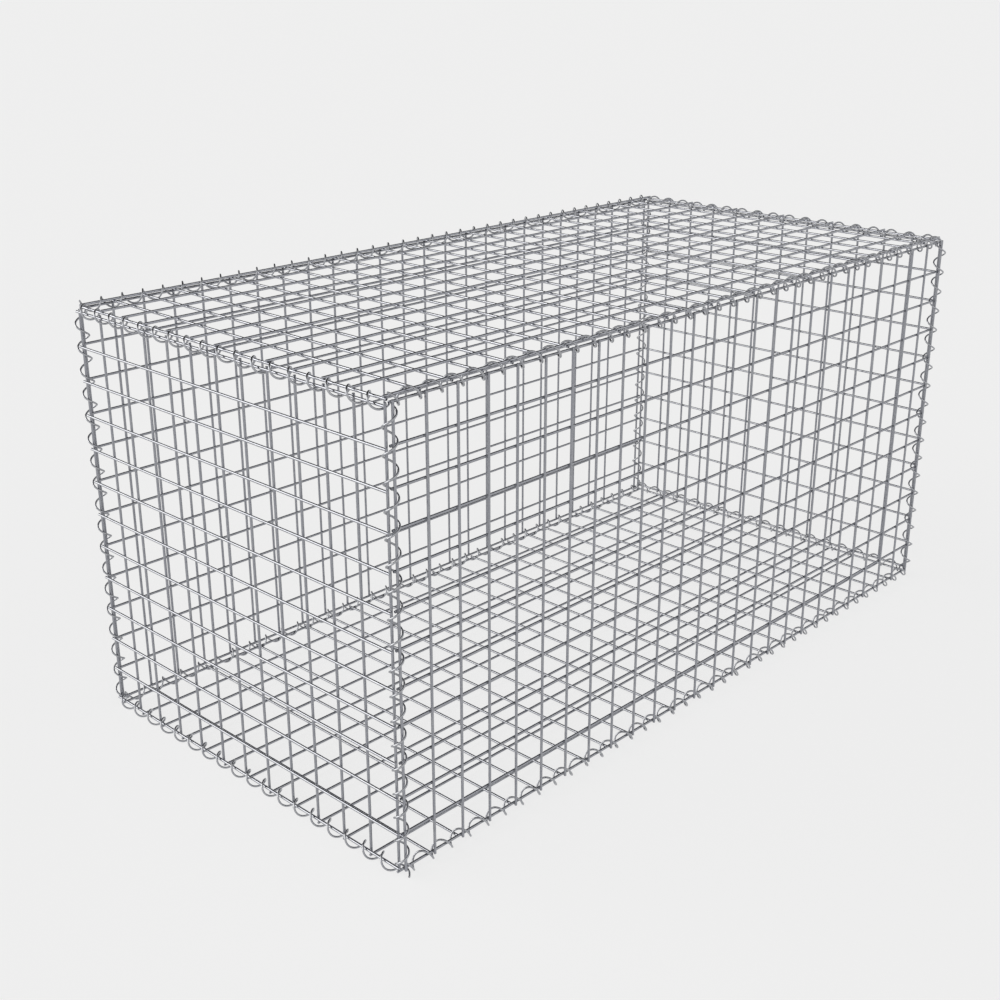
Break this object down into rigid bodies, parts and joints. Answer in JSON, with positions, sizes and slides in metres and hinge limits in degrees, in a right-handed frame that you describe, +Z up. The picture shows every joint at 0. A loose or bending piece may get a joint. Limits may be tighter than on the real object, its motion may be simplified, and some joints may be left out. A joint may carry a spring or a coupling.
{
  "type": "gabion basket",
  "caption": "Empty rectangular gabion basket of welded wire mesh panels laced along every edge by spiral binders, to be filled with stone as a wall block.",
  "frame": {"origin": "on the ground under the middle of the basket", "axes": "+X along the basket to the right, +Y from front to back, +Z up"},
  "size_m": [2.05, 1.0358, 1.0077],
  "materials": {
    "mesh_wire": "dull galvanised",
    "binder_wire": "dull galvanised"
  },
  "bodies": {
    "root": {"front_panel": "mesh_wire", "back_panel": "mesh_wire", "left_end_panel": "mesh_wire", "right_end_panel": "mesh_wire", "base_panel": "mesh_wire", "lid_panel": "mesh_wire", "bottom_front_binder": "binder_wire", "bottom_back_binder": "binder_wire", "bottom_left_binder": "binder_wire", "bottom_right_binder": "binder_wire", "top_front_binder": "binder_wire", "top_back_binder": "binder_wire", "top_left_binder": "binder_wire", "top_right_binder": "binder_wire", "front_left_upright_binder": "binder_wire", "front_right_upright_binder": "binder_wire", "back_left_upright_binder": "binder_wire", "back_right_upright_binder": "binder_wire"}
  },
  "joints": []
}
